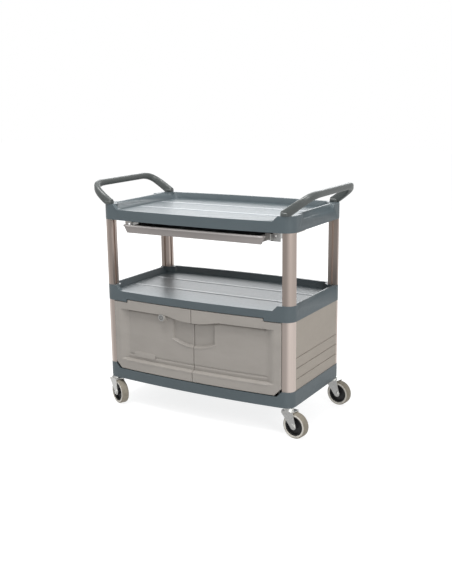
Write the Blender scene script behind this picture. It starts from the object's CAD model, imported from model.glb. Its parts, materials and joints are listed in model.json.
"""Looks of the housekeeping cart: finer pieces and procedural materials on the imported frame.

Metres, in the row frame: X along the cart, the doors face -Y, Z up, origin on the floor.
"""

import json
import math

import bmesh
import bpy
from mathutils import Matrix, Vector


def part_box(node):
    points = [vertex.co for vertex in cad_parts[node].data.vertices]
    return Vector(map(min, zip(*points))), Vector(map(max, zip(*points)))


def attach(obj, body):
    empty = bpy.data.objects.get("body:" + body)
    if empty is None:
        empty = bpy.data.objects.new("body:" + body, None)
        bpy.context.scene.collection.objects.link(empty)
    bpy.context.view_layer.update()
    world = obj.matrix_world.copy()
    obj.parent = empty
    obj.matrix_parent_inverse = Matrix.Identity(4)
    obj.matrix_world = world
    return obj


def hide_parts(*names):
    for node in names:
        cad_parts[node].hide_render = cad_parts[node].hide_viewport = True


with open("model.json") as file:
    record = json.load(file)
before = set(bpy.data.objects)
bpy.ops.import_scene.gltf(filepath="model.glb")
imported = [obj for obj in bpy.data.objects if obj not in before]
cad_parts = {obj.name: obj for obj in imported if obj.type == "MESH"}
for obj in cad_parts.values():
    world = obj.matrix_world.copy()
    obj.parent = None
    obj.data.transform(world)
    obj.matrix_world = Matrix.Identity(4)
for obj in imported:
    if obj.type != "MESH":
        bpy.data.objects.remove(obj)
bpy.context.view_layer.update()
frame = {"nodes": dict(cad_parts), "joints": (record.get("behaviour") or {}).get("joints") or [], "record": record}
nodes = frame["nodes"]
bodies = frame["record"]["behaviour"]["bodies"]
body_of = {node: body for body, members in bodies.items() for node in members}

MM = 0.001
CORNERS = ("front_left", "front_right", "back_left", "back_right")


# ---- materials ----

def material(name, base, roughness, metallic=0.0, specular=0.5, coat=0.0):
    """A Principled material and its shader node."""
    mat = bpy.data.materials.new(name)
    mat.use_nodes = True
    shader = mat.node_tree.nodes["Principled BSDF"]
    shader.inputs["Base Color"].default_value = (*base, 1)
    shader.inputs["Roughness"].default_value = roughness
    shader.inputs["Metallic"].default_value = metallic
    shader.inputs["Specular IOR Level"].default_value = specular
    shader.inputs["Coat Weight"].default_value = coat
    shader.inputs["Coat Roughness"].default_value = 0.25
    return mat, shader


def coordinates(mat, scale):
    """Object coordinates stretched by scale, so that a texture stays with its piece."""
    source = mat.node_tree.nodes.new("ShaderNodeTexCoord")
    mapping = mat.node_tree.nodes.new("ShaderNodeMapping")
    mapping.inputs["Scale"].default_value = scale
    mat.node_tree.links.new(source.outputs["Object"], mapping.inputs["Vector"])
    return mapping.outputs["Vector"]


def noise(mat, scale, detail=3.0, rough=0.55):
    texture = mat.node_tree.nodes.new("ShaderNodeTexNoise")
    texture.inputs["Scale"].default_value = 1.0
    texture.inputs["Detail"].default_value = detail
    texture.inputs["Roughness"].default_value = rough
    mat.node_tree.links.new(coordinates(mat, scale), texture.inputs["Vector"])
    return texture.outputs["Fac"]


def ramp(mat, factor, low, high, low_at=0.3, high_at=0.7):
    """A two-stop colour ramp from low to high."""
    node = mat.node_tree.nodes.new("ShaderNodeValToRGB")
    node.color_ramp.elements[0].position = low_at
    node.color_ramp.elements[1].position = high_at
    node.color_ramp.elements[0].color = (*low, 1)
    node.color_ramp.elements[1].color = (*high, 1)
    mat.node_tree.links.new(factor, node.inputs["Fac"])
    return node.outputs["Color"]


def between(mat, factor, low, high):
    node = mat.node_tree.nodes.new("ShaderNodeMapRange")
    node.inputs["To Min"].default_value = low
    node.inputs["To Max"].default_value = high
    mat.node_tree.links.new(factor, node.inputs["Value"])
    return node.outputs["Result"]


def bump(mat, shader, height, distance, strength, before=None):
    node = mat.node_tree.nodes.new("ShaderNodeBump")
    node.inputs["Distance"].default_value = distance
    node.inputs["Strength"].default_value = strength
    mat.node_tree.links.new(height, node.inputs["Height"])
    if before is not None:
        mat.node_tree.links.new(before, node.inputs["Normal"])
    mat.node_tree.links.new(node.outputs["Normal"], shader.inputs["Normal"])
    return node.outputs["Normal"]


def shade(colour, factor):
    return tuple(min(1.0, c * factor) for c in colour)


def moulded_plastic(name, base, roughness=0.42, grain=0.00012, coat=0.0, streaks=0.0):
    """Structural-foam plastic: a faint swirl, a fine pebbled skin, scuffed edges and optional streaks."""
    mat, shader = material(name, base, roughness, coat=coat)
    links = mat.node_tree.links
    swirl = ramp(mat, noise(mat, (9, 9, 22), 4.0, 0.6), shade(base, 0.955), shade(base, 1.04))
    geometry = mat.node_tree.nodes.new("ShaderNodeNewGeometry")
    worn = mat.node_tree.nodes.new("ShaderNodeValToRGB")
    worn.color_ramp.elements[0].position = 0.52
    worn.color_ramp.elements[1].position = 0.62
    worn.color_ramp.elements[0].color = (0, 0, 0, 1)
    worn.color_ramp.elements[1].color = (0.22, 0.22, 0.22, 1)
    links.new(geometry.outputs["Pointiness"], worn.inputs["Fac"])
    mix = mat.node_tree.nodes.new("ShaderNodeMix")
    mix.data_type = "RGBA"
    links.new(worn.outputs["Color"], mix.inputs["Factor"])
    links.new(swirl, mix.inputs["A"])
    mix.inputs["B"].default_value = (*shade(base, 1.45), 1)
    links.new(mix.outputs["Result"], shader.inputs["Base Color"])
    links.new(between(mat, noise(mat, (60, 60, 60), 2.0), roughness - 0.05, roughness + 0.07),
              shader.inputs["Roughness"])
    before = None
    if streaks:
        before = bump(mat, shader, noise(mat, (7, 55, 55), 4.0, 0.6), streaks, 0.35)
    bump(mat, shader, noise(mat, (1300, 1300, 1300), 2.0, 0.6), grain, 0.55, before)
    return mat


def aluminium(name, base):
    """Satin anodised extrusion: fine die lines along Z."""
    mat, shader = material(name, base, 0.36, metallic=1.0)
    links = mat.node_tree.links
    lines = noise(mat, (2600, 2600, 2.0), 2.0, 0.7)
    links.new(ramp(mat, lines, shade(base, 0.90), shade(base, 1.06)), shader.inputs["Base Color"])
    links.new(between(mat, noise(mat, (800, 800, 5), 2.0), 0.30, 0.44), shader.inputs["Roughness"])
    bump(mat, shader, lines, 0.00004, 0.5)
    return mat


def zinc(name, base, roughness=0.3):
    """Bright zinc plate: faint cloudy spangle and a rolled-sheet grain."""
    mat, shader = material(name, base, roughness, metallic=1.0)
    links = mat.node_tree.links
    cloud = noise(mat, (140, 140, 140), 3.0, 0.65)
    links.new(ramp(mat, cloud, shade(base, 0.86), shade(base, 1.08)), shader.inputs["Base Color"])
    links.new(between(mat, cloud, roughness - 0.08, roughness + 0.12), shader.inputs["Roughness"])
    bump(mat, shader, noise(mat, (1800, 500, 1800), 2.0), 0.00005, 0.4)
    return mat


def chrome(name, base):
    mat, shader = material(name, base, 0.09, metallic=1.0)
    smudge = noise(mat, (260, 260, 260), 3.0)
    mat.node_tree.links.new(between(mat, smudge, 0.05, 0.16), shader.inputs["Roughness"])
    bump(mat, shader, noise(mat, (900, 900, 900), 2.0), 0.00002, 0.3)
    return mat


def rubber(name, base):
    """Non-marking tread: dusty, with a fine matt skin."""
    mat, shader = material(name, base, 0.72, specular=0.3)
    links = mat.node_tree.links
    dust = noise(mat, (70, 70, 70), 5.0, 0.65)
    links.new(ramp(mat, dust, shade(base, 0.84), shade(base, 1.1)), shader.inputs["Base Color"])
    links.new(between(mat, dust, 0.62, 0.82), shader.inputs["Roughness"])
    bump(mat, shader, noise(mat, (900, 900, 900), 3.0), 0.0002, 0.6)
    return mat


MATERIALS = {
    "shelf_plastic": moulded_plastic("shelf_slate", (0.064, 0.083, 0.092), 0.40, coat=0.1, streaks=0.0012),
    "handle_plastic": moulded_plastic("handle_grey", (0.064, 0.071, 0.069), 0.36, coat=0.2),
    "post_aluminium": aluminium("post_anodised", (0.62, 0.525, 0.47)),
    "door_plastic": moulded_plastic("door_warm_grey", (0.262, 0.243, 0.222), 0.45),
    "panel_plastic": moulded_plastic("panel_warm_grey", (0.252, 0.224, 0.192), 0.5),
    "drawer_plastic": moulded_plastic("drawer_warm_grey", (0.200, 0.184, 0.176), 0.4, coat=0.1),
    "zinc_steel": zinc("zinc_plate", (0.88, 0.88, 0.86), 0.34),
    "dark_rail_steel": zinc("dark_rail", (0.10, 0.092, 0.085), 0.45),
    "lock_chrome": chrome("lock_chrome", (0.80, 0.80, 0.78)),
    "wheel_core_plastic": moulded_plastic("core_black", (0.018, 0.018, 0.019), 0.5),
    "tread_rubber": rubber("tread_grey", (0.20, 0.18, 0.145)),
}
slot_of = {part["node"]: part["material_slot"] for part in frame["record"]["subparts"]}


def dress(piece, mat):
    piece.data.materials.clear()
    piece.data.materials.append(mat)


# Variants for single pieces; each keeps its record slot
WORN = moulded_plastic("bead_worn", (0.230, 0.252, 0.268), 0.30, coat=0.2)
SIDEWALL = rubber("tread_sidewall_pale", (0.46, 0.44, 0.40))
PIN = zinc("pin_dull", (0.10, 0.10, 0.10), 0.5)
LOWER = aluminium("post_anodised_pale", (0.86, 0.745, 0.68))
LIP = moulded_plastic("drawer_lip_pale", (0.40, 0.38, 0.365), 0.35)

for name, piece in nodes.items():
    dress(piece, MATERIALS[slot_of[name]])
    if name.startswith("lower_post"):
        dress(piece, LOWER)
    if name.startswith("hinge_pin"):
        dress(piece, PIN)


# ---- finer copies of CAD nodes ----

ADDED_LIMIT = 50.0  # degrees; sharper corners of added pieces stay sharp


def object_from(name, mesh, limit):
    """An object in the scene, smooth except where faces meet at more than limit degrees."""
    for polygon in mesh.polygons:
        polygon.use_smooth = True
    mesh.set_sharp_from_angle(angle=math.radians(limit))
    piece = bpy.data.objects.new(name, mesh)
    bpy.context.scene.collection.objects.link(piece)
    return piece


def mesh_object(name, vertices, faces, limit=32.0):
    mesh = bpy.data.meshes.new(name)
    mesh.from_pydata(vertices, [], faces)
    mesh.update()
    return object_from(name, mesh, limit)


def stand_for(piece, node):
    """The piece takes a CAD node's place, body and material."""
    dress(piece, MATERIALS[slot_of[node]])
    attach(piece, body_of[node])
    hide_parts(node)


def place(piece, mat, body):
    """An added piece takes its material, body and record slot."""
    dress(piece, mat)
    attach(piece, body)


def smoothed(node, width=0.0, limit=32.0):
    """A cleaned copy of a CAD node with smooth shading below limit degrees, shown in the node's place.

    A width asks for a bevel, but clamping against the CAD's tiny edges leaves it under 0.1 mm.
    """
    bm = bmesh.new()
    bm.from_mesh(nodes[node].data)
    bmesh.ops.remove_doubles(bm, verts=bm.verts, dist=0.00002)
    bmesh.ops.dissolve_limit(bm, angle_limit=math.radians(0.4), verts=bm.verts, edges=bm.edges)
    mesh = bpy.data.meshes.new(node + "_soft")
    bm.to_mesh(mesh)
    bm.free()
    piece = object_from(node + "_soft", mesh, limit)
    if width:
        bevel = piece.modifiers.new("edges", "BEVEL")
        bevel.width = width
        bevel.segments = 3
        bevel.limit_method = "ANGLE"
        bevel.angle_limit = math.radians(limit)
        bevel.harden_normals = True
        bevel.use_clamp_overlap = True
    stand_for(piece, node)


def strip(name, profile, stations):
    """A solid swept along X: each station (x, scale, y, z) places the profile's (y, z) points, scaled."""
    vertices = [(x, y0 + dy * k, z0 + dz * k) for x, k, y0, z0 in stations for dy, dz in profile]
    n = len(profile)
    faces = [(i * n + a, i * n + (a + 1) % n, (i + 1) * n + (a + 1) % n, (i + 1) * n + a)
             for i in range(len(stations) - 1) for a in range(n)]
    faces += [tuple(range(n - 1, -1, -1)), tuple(range((len(stations) - 1) * n, len(stations) * n))]
    return mesh_object(name, vertices, faces, ADDED_LIMIT)


def block(name, low, high, radius, segments=4):
    """A box between two corners with rounded edges."""
    bm = bmesh.new()
    bmesh.ops.create_cube(bm, size=1.0)
    for vertex in bm.verts:
        vertex.co = Vector([(a + b) / 2 + (b - a) * c for a, b, c in zip(low, high, vertex.co)])
    bmesh.ops.bevel(bm, geom=bm.edges[:], offset=radius, segments=segments, profile=0.5, affect="EDGES")
    mesh = bpy.data.meshes.new(name)
    bm.to_mesh(mesh)
    bm.free()
    return object_from(name, mesh, ADDED_LIMIT)


def ring(name, centre, axis, across, section, turns):
    """A closed section turned about the axis from across.

    Its (radius, distance along axis) points run anticlockwise, which keeps the ring right side out.
    """
    up = Vector((0, 0, 1))
    spokes = [across * math.cos(2 * math.pi * i / turns) + up * math.sin(2 * math.pi * i / turns)
              for i in range(turns)]
    vertices = [centre + spoke * r + axis * h for spoke in spokes for r, h in section]
    n = len(section)
    faces = [(i * n + a, i * n + (a + 1) % n, (i + 1) % turns * n + (a + 1) % n, (i + 1) % turns * n + a)
             for i in range(turns) for a in range(n)]
    if across.cross(up).dot(axis) > 0:
        faces = [tuple(reversed(face)) for face in faces]
    return mesh_object(name, vertices, faces, ADDED_LIMIT)


for name in ("top_shelf", "middle_shelf", "bottom_shelf"):
    smoothed(name)

# Low beads over the trays' drip grooves
TRAY_DEPTH = 25 * MM
GROOVE_DEPTH = 1.5 * MM
GROOVE_HALF = 4 * MM
BEAD_HALF = 9 * MM
BEAD_HEIGHT = 1.8 * MM
BEAD_SUNK = 0.8 * MM
ARC_STEPS = 12
BEAD_ENDS = ((0.0, 0.25), (1.5, 0.6), (4.0, 0.85), (8.0, 1.0))  # mm from the end, share of the section

arc = [(BEAD_HALF * math.cos(math.pi * i / ARC_STEPS), BEAD_HEIGHT * math.sin(math.pi * i / ARC_STEPS))
       for i in range(ARC_STEPS + 1)]
bead_profile = arc + [(-BEAD_HALF, -BEAD_SUNK), (BEAD_HALF, -BEAD_SUNK)]
for shelf in ("top_shelf", "middle_shelf"):
    floor_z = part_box(shelf)[1].z - TRAY_DEPTH
    groove = [v.co for v in nodes[shelf].data.vertices if abs(v.co.z - floor_z + GROOVE_DEPTH) < 0.1 * MM]
    reach = max(abs(co.x) for co in groove)
    middle = max(abs(co.y) for co in groove) - GROOVE_HALF
    for side, y in (("front", -middle), ("back", middle)):
        stations = [(-reach + d * MM, k, y, floor_z) for d, k in BEAD_ENDS]
        stations += [(reach - d * MM, k, y, floor_z) for d, k in reversed(BEAD_ENDS)]
        place(strip(shelf + "_bead_" + side, bead_profile, stations), WORN, "cart")


# ---- doors ----

def ramp_up(value, width):
    """0 below 0 and 1 above width, with soft shoulders."""
    t = min(max(value / width, 0.0), 1.0)
    return 0.45 * t + 0.55 * t * t * (3 - 2 * t)


class Door:
    """A moulded door: hood, recessed face, pull pocket and foot slope as one depth map on a bowed front."""

    STEP = 2.0 * MM
    HOLLOW_WALL = 4.0 * MM
    THICKNESS = 33 * MM
    RIM_RADIUS = 4 * MM
    BACK_RUN = 8 * MM  # slope of the hollow's sides

    # The shelves' plan that the front follows: half length, corner radius and bow
    HALF_LENGTH = 443 * MM
    CORNER = 44 * MM
    BOW = 18 * MM
    SETBACK = 1 * MM

    BEAD_HEIGHT = 1.5 * MM
    FOOT_BEAD_END = 342 * MM  # the foot's bead and line fade out here
    HOOD_END = 336 * MM
    UNDERCUT = 3.5 * MM

    def __init__(self, side):
        self.side = side
        self.node = "door_right" if side > 0 else "door_left"
        low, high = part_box(self.node)
        self.seam = min(abs(low.x), abs(high.x))
        self.edge = max(abs(low.x), abs(high.x))
        self.bottom, self.top = low.z, high.z
        self.front = low.y
        self.step_x = 322 * MM  # outside this the door's top is lower
        self.step = 11.5 * MM
        self.corner_x = self.edge - 30 * MM  # start of the slanted lower corner
        self.hood_z = self.top - 42.5 * MM
        self.hood_dip = 17 * MM
        self.dip_half = 122 * MM
        self.foot_z = self.bottom + 44 * MM
        self.foot_run = 4 * MM
        self.side_x = 372 * MM
        self.side_run = 46 * MM
        self.relief = 17 * MM
        self.pocket_x = 100 * MM
        self.pocket_z = 331 * MM
        self.pocket_sag = 22 * MM
        self.pocket_depth = 9.5 * MM
        self.boss_z = 418 * MM
        self.boss_x = 144 * MM
        self.boss_r = 16.5 * MM

    def low_z(self, x):
        return self.bottom + max(0.0, x - self.corner_x)

    def high_z(self, x):
        return self.top - self.step * ramp_up(x - self.step_x, 1.2 * MM)

    def hood_edge(self, x):
        """The hood's lower edge: level, with a shallow arc over the pull."""
        if x > self.dip_half:
            return self.hood_z
        t = x / self.dip_half
        return self.hood_z - self.hood_dip * (1 - t * t)

    def pocket_edge(self, x):
        t = min(x / self.pocket_x, 1.0)
        return self.pocket_z - self.pocket_sag * (1 - t * t)

    def from_boss(self, x, z, radius):
        """Distance outside a circle round the lock; the right door has no lock."""
        return math.hypot(x - self.boss_x, z - self.boss_z) - radius if self.side < 0 else math.inf

    def depth(self, x, z):
        """How far the face lies behind the door's front line."""
        below = self.hood_edge(x) - z
        under_hood = ramp_up(below, 4 * MM)
        side = min(max((self.side_x - x) / self.side_run, 0.0), 1.0)
        recess = min(max((z - self.foot_z) / self.foot_run, 0.0), 1.0) * side * side * (3 - 2 * side)
        recess = min(recess, under_hood, ramp_up(self.from_boss(x, z, self.boss_r), 5 * MM))
        undercut = (ramp_up(below - 2 * MM, 2 * MM) * ramp_up(11 * MM - below, 6 * MM)
                    * ramp_up(self.HOOD_END - x, 8 * MM))
        pocket = min(ramp_up(self.pocket_x - x, 5 * MM), ramp_up(z - self.pocket_edge(x), 5 * MM), under_hood)
        return (self.relief * recess + self.pocket_depth * pocket + self.UNDERCUT * undercut * recess
                - self.BEAD_HEIGHT * self.beads(x, z))

    def beads(self, x, z):
        """The foot's bead with the shallow line above it, and the lip under the pull, in bead heights."""
        height = 0.0
        inside = self.FOOT_BEAD_END - x
        if inside > 0:
            line = ramp_up(6 * MM - abs(z - self.foot_z - 23 * MM), 6 * MM)
            height = self.crown(z - self.foot_z + 3 * MM, 5 * MM) * ramp_up(inside, 8 * MM)
            height -= 1.8 * line * ramp_up(inside, 20 * MM)
        if x < self.pocket_x + 4 * MM:
            height += 1.6 * self.crown(z - self.pocket_edge(x) + 2.5 * MM, 4.5 * MM)
        return height

    @staticmethod
    def crown(offset, half):
        """A half-round bead's height over its width, from 0 to 1."""
        return math.sqrt(max(0.0, 1 - (offset / half) ** 2))

    def rim(self, x, z):
        """Rounding of the outer edge."""
        radius = self.RIM_RADIUS
        away = min(z - self.low_z(x), self.high_z(x) - z, self.edge - x, (x - self.seam) * 1.6)
        if away >= radius:
            return 0.0
        return radius - math.sqrt(max(radius ** 2 - (radius - max(away, 0)) ** 2, 0.0))

    def back(self, x, z):
        """Depth of the back: hollow behind the recessed face, full behind the pull, the lock and the rims."""
        run = self.BACK_RUN
        inner = min(ramp_up(x - self.pocket_x - 12 * MM, run), ramp_up(self.side_x - 20 * MM - x, run),
                    ramp_up(z - self.foot_z - 30 * MM, run), ramp_up(self.hood_z - 14 * MM - z, run),
                    ramp_up(self.from_boss(x, z, 30 * MM), run))
        return self.THICKNESS - (self.THICKNESS - self.relief - self.HOLLOW_WALL) * inner

    def point(self, x, z, depth):
        """A point of the door at a depth behind its bowed front."""
        radius = self.CORNER + ((self.HALF_LENGTH - self.CORNER) ** 2 / self.BOW + self.BOW) / 2
        reach = radius - self.SETBACK - depth
        y = self.front - self.SETBACK + radius - math.sqrt(reach ** 2 - x ** 2)
        return (self.side * x, y, z)

    def build(self):
        columns = self.lines(self.seam, self.edge, (self.step_x, self.step_x + 1.2 * MM))
        rows = round((self.top - self.bottom) / self.STEP)
        vertices, faces = [], []
        for layer in (0, 1):
            for x in columns:
                low, high = self.low_z(x), self.high_z(x)
                for j in range(rows + 1):
                    z = low + (high - low) * (j / rows)
                    depth = self.depth(x, z) + self.rim(x, z) if layer == 0 else self.back(x, z)
                    vertices.append(self.point(x, z, depth))
        n, m = len(columns), rows + 1

        def at(layer, i, j):
            return layer * n * m + i * m + j

        for i in range(n - 1):
            for j in range(rows):
                faces.append((at(0, i, j), at(0, i + 1, j), at(0, i + 1, j + 1), at(0, i, j + 1)))
                faces.append((at(1, i, j), at(1, i, j + 1), at(1, i + 1, j + 1), at(1, i + 1, j)))
        border = ([(i, 0) for i in range(n)] + [(n - 1, j) for j in range(1, m)]
                  + [(i, m - 1) for i in range(n - 2, -1, -1)] + [(0, j) for j in range(m - 2, 0, -1)])
        for a, b in zip(border, border[1:] + border[:1]):
            faces.append((at(0, *a), at(1, *a), at(1, *b), at(0, *b)))
        if self.side < 0:
            faces = [tuple(reversed(face)) for face in faces]
        stand_for(mesh_object(self.node + "_moulded", vertices, faces), self.node)

    def lines(self, start, end, extra):
        """Columns of the mesh, closer at both ends and at the extra places."""
        count = round((end - start) / self.STEP)
        values = [start + (end - start) * i / count for i in range(count + 1)]
        rim = [start + 0.6 * MM, start + 1.2 * MM, end - 0.7 * MM, end - 1.4 * MM]
        return sorted(set(values) | set(extra) | set(rim))


for side in (-1, 1):
    Door(side).build()


# ---- added details ----

# Rolled lip along the top of the drawer's front, following its bow
LIP_HALF_DEPTH = 3.6 * MM
LIP_HALF_HEIGHT = 4 * MM
LIP_SUNK = 2.2 * MM
LIP_END = 6 * MM  # from the front's ends
LIP_STATIONS = 41
LIP_SIDES = 16

low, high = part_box("drawer")
lip_z = high.z - LIP_HALF_HEIGHT
front = []
for i in range(LIP_STATIONS):
    x = low.x + LIP_END + (high.x - low.x - 2 * LIP_END) * i / (LIP_STATIONS - 1)
    found, point, _, _ = nodes["drawer"].ray_cast(Vector((x, low.y - 0.2, lip_z)), Vector((0, 1, 0)))
    if found and point.y < low.y + 60 * MM:
        front.append((x, point.y))
lip_profile = [(LIP_HALF_DEPTH * math.cos(2 * math.pi * i / LIP_SIDES),
                LIP_HALF_HEIGHT * math.sin(2 * math.pi * i / LIP_SIDES)) for i in range(LIP_SIDES)]
stations = [(x, 1.0 if 0 < i < len(front) - 1 else 0.55, y + LIP_SUNK, lip_z)
            for i, (x, y) in enumerate(front)]
place(strip("drawer_lip", lip_profile, stations), LIP, body_of["drawer"])

# Square feet round the lower ends of the handles' arms
FOOT_LENGTH = 30 * MM
FOOT_HALF = 15 * MM
FOOT_HEIGHT = 14 * MM
FOOT_ROUND = 4.5 * MM
FOOT_INSET = 30 * MM  # from the shelf's bowed front to the arm's middle

shelf_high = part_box("top_shelf")[1]
for side, node in ((-1, "handle_left"), (1, "handle_right")):
    low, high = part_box(node)
    inner = min(abs(low.x), abs(high.x))
    xs = sorted((side * (inner - 0.5 * MM), side * (inner + FOOT_LENGTH)))
    for end, word in ((-1, "front"), (1, "back")):
        middle = end * (shelf_high.y - FOOT_INSET)
        foot = block(node + "_foot_" + word, (xs[0], middle - FOOT_HALF, shelf_high.z - 0.5 * MM),
                     (xs[1], middle + FOOT_HALF, shelf_high.z + FOOT_HEIGHT), FOOT_ROUND)
        place(foot, MATERIALS["handle_plastic"], "cart")

# Pale sidewall bands on both faces of each tread
SIDEWALL_TURNS = 72

joints = {joint["name"]: joint for joint in frame["joints"]}
for corner in CORNERS:
    joint = joints["wheel_" + corner + "_spin"]
    centre, axis = Vector(joint["pos_m"]), Vector(joint["axis"]).normalized()
    across = axis.cross(Vector((0, 0, 1))).normalized()

    def around(node):
        """Each vertex of a wheel node as (distance from the axle, distance along it)."""
        for vertex in nodes[node].data.vertices:
            away = vertex.co - centre
            along = away.dot(axis)
            yield (away - along * axis).length, along

    core_r = max(r for r, _ in around("wheel_core_" + corner))
    tread_r = max(r for r, _ in around("wheel_tread_" + corner))
    half = max(abs(h) for _, h in around("wheel_tread_" + corner))
    section = [(tread_r - 3.6 * MM, half - 0.8 * MM), (tread_r - 4.2 * MM, half + 0.4 * MM),
               (tread_r - 5.4 * MM, half + 0.9 * MM), (core_r + 1.4 * MM, half + 0.9 * MM),
               (core_r + 0.4 * MM, half + 0.5 * MM), (core_r - 0.5 * MM, half - 0.8 * MM)]
    for face, word in ((-1, "inner"), (1, "outer")):
        band = ring("tread_sidewall_" + corner + "_" + word, centre, axis * face, across, section,
                    SIDEWALL_TURNS)
        place(band, SIDEWALL, body_of["wheel_tread_" + corner])

# Dark seat round the lock's plug, on the chrome face, and the plug's key slot
SEAT_TURNS = 64
SLOT_HALF_WIDTH = 1.3 * MM
SLOT_HALF_HEIGHT = 4.8 * MM

low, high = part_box("lock_plug")
plug_middle = (low + high) / 2
plug_r = (high.x - low.x) / 2
section = [(plug_r + 0.3 * MM, 0.6 * MM), (plug_r + 0.5 * MM, -0.35 * MM),
           (plug_r + 2.4 * MM, -0.35 * MM), (plug_r + 2.8 * MM, 0.6 * MM)]
seat = ring("lock_seat_ring", Vector((plug_middle.x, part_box("lock_body")[0].y, plug_middle.z)),
            Vector((0, 1, 0)), Vector((1, 0, 0)), section, SEAT_TURNS)
place(seat, MATERIALS["wheel_core_plastic"], body_of["lock_body"])
slot = block("lock_key_slot",
             (plug_middle.x - SLOT_HALF_WIDTH, low.y - 0.25 * MM, plug_middle.z - SLOT_HALF_HEIGHT),
             (plug_middle.x + SLOT_HALF_WIDTH, low.y + 0.6 * MM, plug_middle.z + SLOT_HALF_HEIGHT),
             0.2 * MM, segments=2)
place(slot, MATERIALS["wheel_core_plastic"], body_of["lock_plug"])

# The lip's rays need the CAD drawer still shown, so it is replaced here
for name, width in (("handle_left", 2.0 * MM), ("handle_right", 2.0 * MM), ("drawer", 1.0 * MM)):
    smoothed(name, width)


# ---- studio ----

def area_light(name, stand, target, size, power, colour=(1, 1, 1)):
    light = bpy.data.lights.new(name, "AREA")
    light.shape = "RECTANGLE"
    light.size, light.size_y = size
    light.energy = power
    light.color = colour
    piece = bpy.data.objects.new(name, light)
    bpy.context.scene.collection.objects.link(piece)
    piece.location = stand
    piece.rotation_euler = (Vector(target) - Vector(stand)).to_track_quat("-Z", "Y").to_euler()
    piece.visible_camera = False


def surroundings():
    """White to the camera; for light and reflections a bright room with a darker patch to the front left."""
    world = bpy.data.worlds.new("studio")
    bpy.context.scene.world = world
    world.use_nodes = True
    tree = world.node_tree
    background = tree.nodes["Background"]
    background.inputs["Color"].default_value = (1, 1, 1, 1)
    direction = tree.nodes.new("ShaderNodeTexCoord")
    dot = tree.nodes.new("ShaderNodeVectorMath")
    dot.operation = "DOT_PRODUCT"
    patch = math.radians(-22)
    dot.inputs[1].default_value = (math.sin(patch), -math.cos(patch), -0.15)
    level = tree.nodes.new("ShaderNodeMapRange")
    level.interpolation_type = "SMOOTHSTEP"
    level.inputs["From Min"].default_value = 0.50
    level.inputs["From Max"].default_value = 0.95
    level.inputs["To Min"].default_value = 0.68
    level.inputs["To Max"].default_value = 0.38
    path = tree.nodes.new("ShaderNodeLightPath")
    choose = tree.nodes.new("ShaderNodeMix")
    choose.inputs["B"].default_value = 1.0
    tree.links.new(direction.outputs["Generated"], dot.inputs[0])
    tree.links.new(dot.outputs["Value"], level.inputs["Value"])
    tree.links.new(level.outputs["Result"], choose.inputs["A"])
    tree.links.new(path.outputs["Is Camera Ray"], choose.inputs["Factor"])
    tree.links.new(choose.outputs["Result"], background.inputs["Strength"])


def studio():
    surroundings()
    area_light("key", (3.4, -2.0, 2.4), (0, 0, 0.5), (1.6, 1.6), 62)
    area_light("back", (-2.6, 4.3, 1.9), (0, 0, 0.6), (6.0, 3.2), 138, (0.97, 0.985, 1.0))
    area_light("top", (-0.2, -0.9, 3.4), (0, 0, 0.4), (1.6, 1.6), 105)
    mesh = bpy.data.meshes.new("floor")
    half = 14.0
    corners = [(-half, -half, 0), (half, -half, 0), (half, half, 0), (-half, half, 0)]
    mesh.from_pydata(corners, [], [(0, 1, 2, 3)])
    floor = bpy.data.objects.new("floor", mesh)
    bpy.context.scene.collection.objects.link(floor)
    mat, shader = material("floor_pale", (0.6, 0.6, 0.6), 0.85, specular=0.1)
    mottle = noise(mat, (2, 2, 2), 2.0)
    mat.node_tree.links.new(ramp(mat, mottle, (0.295, 0.295, 0.295), (0.305, 0.305, 0.305)),
                            shader.inputs["Base Color"])
    shader.inputs["Emission Color"].default_value = (1, 1, 1, 1)
    shader.inputs["Emission Strength"].default_value = 0.80
    dress(floor, mat)
    floor.visible_glossy = False


def camera():
    """The photograph's view: azimuth 30.8 and elevation 13.5 degrees, with a slight roll."""
    data = bpy.data.cameras.new("view")
    data.lens = 54.19
    data.shift_x = 0.0060
    data.shift_y = 0.0036
    data.clip_end = 60
    piece = bpy.data.objects.new("view", data)
    bpy.context.scene.collection.objects.link(piece)
    stand, target = Vector((1.85885, -3.11885, 1.35136)), Vector((0, 0, 0.48))
    turn = (target - stand).to_track_quat("-Z", "Y").to_matrix().to_4x4()
    piece.matrix_world = Matrix.Translation(stand) @ turn @ Matrix.Rotation(math.radians(-0.8), 4, "Z")
    bpy.context.scene.camera = piece


studio()
camera()
bpy.context.scene.view_settings.view_transform = "Standard"
